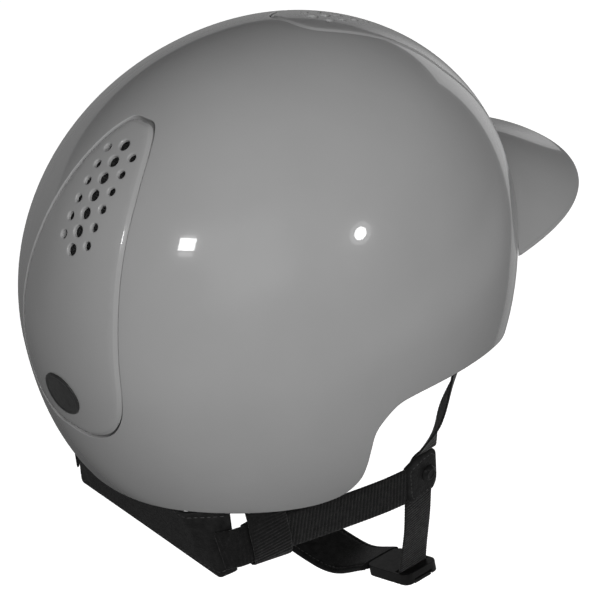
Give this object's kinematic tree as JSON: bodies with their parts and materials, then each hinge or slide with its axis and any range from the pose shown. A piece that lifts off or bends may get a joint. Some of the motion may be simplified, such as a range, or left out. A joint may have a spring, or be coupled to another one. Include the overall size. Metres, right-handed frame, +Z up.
{
  "type": "equestrian riding helmet",
  "caption": "Glossy riding helmet with perforated vent panels, short arched peak, foam liner, nape pad and webbing harness with a ratchet chin buckle.",
  "frame": {"origin": "centre of the shell at its widest level, which is the centre of the wearer's head in the head opening", "axes": "+X towards the wearer's left, -Y to the front of the helmet, +Z up"},
  "size_m": [0.2118, 0.3243, 0.3215],
  "materials": {
    "lacquer": "mirror gloss lacquer",
    "mesh": "fine woven net",
    "badge": "satin moulded",
    "foam": "moulded bead foam",
    "lining": "brushed knit over foam",
    "webbing": "ribbed woven webbing",
    "leather": "fine grain synthetic leather",
    "plastic": "satin moulded",
    "steel": "plated"
  },
  "bodies": {
    "helmet": {"outer_shell": "lacquer", "rear_vent_panel": "lacquer", "front_vent_panel": "lacquer", "rear_vent_mesh": "mesh", "front_vent_mesh": "mesh", "rear_badge": "badge", "peak": "lacquer", "peak_screw_right": "steel", "peak_screw_centre": "steel", "peak_screw_left": "steel", "shock_liner": "foam", "brow_pad": "lining", "side_pad_right": "lining", "side_pad_left": "lining", "rear_pad": "lining", "crown_pad": "lining", "front_strap_right": "webbing", "front_strap_left": "webbing", "rear_strap_right": "webbing", "rear_strap_left": "webbing", "rear_loop_right": "webbing", "rear_loop_left": "webbing", "front_anchor_right": "steel", "front_anchor_left": "steel", "rear_anchor_right": "steel", "rear_anchor_left": "steel", "nape_tab_right": "webbing", "nape_tab_left": "webbing", "side_junction_right": "leather", "side_junction_left": "leather", "junction_snap_right": "plastic", "junction_snap_left": "plastic"},
    "nape": {"nape_pad": "leather"},
    "chin_loop": {"chin_strap_right": "webbing", "chin_strap_left": "webbing", "chin_pad": "leather", "buckle_housing": "plastic", "lever_pin": "steel"},
    "tongue": {"buckle_tongue": "plastic"},
    "lever": {"release_lever": "plastic"},
    "slider": {"chin_slider": "plastic"}
  },
  "joints": [
    {"name": "nape_tilt", "type": "hinge", "parent": "helmet", "child": "nape", "pos_m": [0, 0.1108, -0.063], "axis": [1, 0, 0], "range_deg": [-4, 10], "stiffness_Nm_per_rad": 0.3, "deforming": ["rear_strap_right", "rear_strap_left"]},
    {"name": "chin_swing", "type": "hinge", "parent": "helmet", "child": "chin_loop", "pos_m": [0, -0.01, -0.098], "axis": [1, 0, 0], "range_deg": [-35, 35]},
    {"name": "buckle_release", "type": "slide", "parent": "chin_loop", "child": "tongue", "axis": [0.9461, 0, -0.324], "range_m": [0, 0.014], "deforming": ["chin_pad"]},
    {"name": "lever_press", "type": "hinge", "parent": "chin_loop", "child": "lever", "pos_m": [-0.0601, -0.00819, -0.17933], "axis": [-0.0564, -0.9847, -0.1647], "range_deg": [0, 25], "stiffness_Nm_per_rad": 0.02},
    {"name": "slider_slide", "type": "slide", "parent": "chin_loop", "child": "slider", "axis": [0.1159, 0, 0.9933], "range_m": [-0.008, 0.008]}
  ]
}
